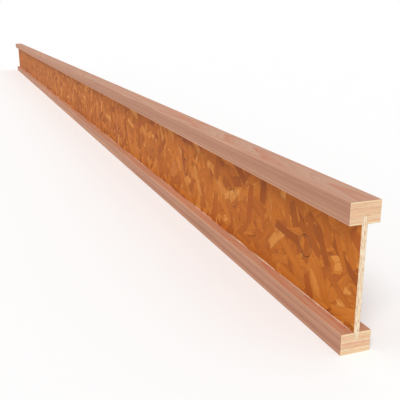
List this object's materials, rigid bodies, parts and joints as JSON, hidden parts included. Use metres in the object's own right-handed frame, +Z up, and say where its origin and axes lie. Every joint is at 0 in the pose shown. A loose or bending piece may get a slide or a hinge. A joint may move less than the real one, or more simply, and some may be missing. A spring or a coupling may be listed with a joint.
{
  "type": "wooden i-joist",
  "caption": "Straight wooden I-joist with laminated veneer flanges glued along a thin strand-board web, cut square at both ends.",
  "frame": {"origin": "centre of the joist's footprint, on the underside of the bottom flange", "axes": "+Y along the joist to its far end, +X across the flanges, +Z up from the bottom flange to the top flange"},
  "size_m": [0.0524, 5.4864, 0.2413],
  "materials": {
    "veneer_lumber": "sawn and sanded",
    "strand_board": "pressed, lightly waxed"
  },
  "bodies": {
    "root": {"bottom_flange": "veneer_lumber", "top_flange": "veneer_lumber", "web_panel_1": "strand_board", "web_panel_2": "strand_board", "web_panel_3": "strand_board"}
  },
  "joints": []
}
